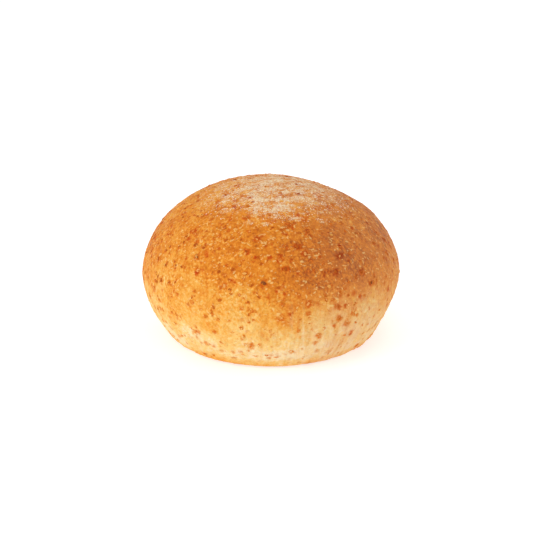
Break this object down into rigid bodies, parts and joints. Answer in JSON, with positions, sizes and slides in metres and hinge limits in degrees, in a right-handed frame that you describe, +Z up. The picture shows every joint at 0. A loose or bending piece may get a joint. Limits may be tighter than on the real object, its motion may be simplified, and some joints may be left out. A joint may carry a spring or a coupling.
{
  "type": "soft bread roll",
  "caption": "Round brown soft roll with a domed crown, tucked-in flanks, a flat baked underside and bran flakes in its crust.",
  "frame": {"origin": "on the plane that the roll stands on, under the middle of its bounding box", "axes": "+Z up through the crown, the roll's shortest extent; -Y towards the side that the picture shows; +X to that view's right"},
  "size_m": [0.095, 0.0951, 0.0567],
  "materials": {
    "crust": "dull to satin baked wheat crust, golden orange-brown above and pale cream at the foot, speckled with red-brown bran flakes and dusted with flour on the crown"
  },
  "bodies": {
    "root": {"roll": "crust"}
  },
  "joints": []
}
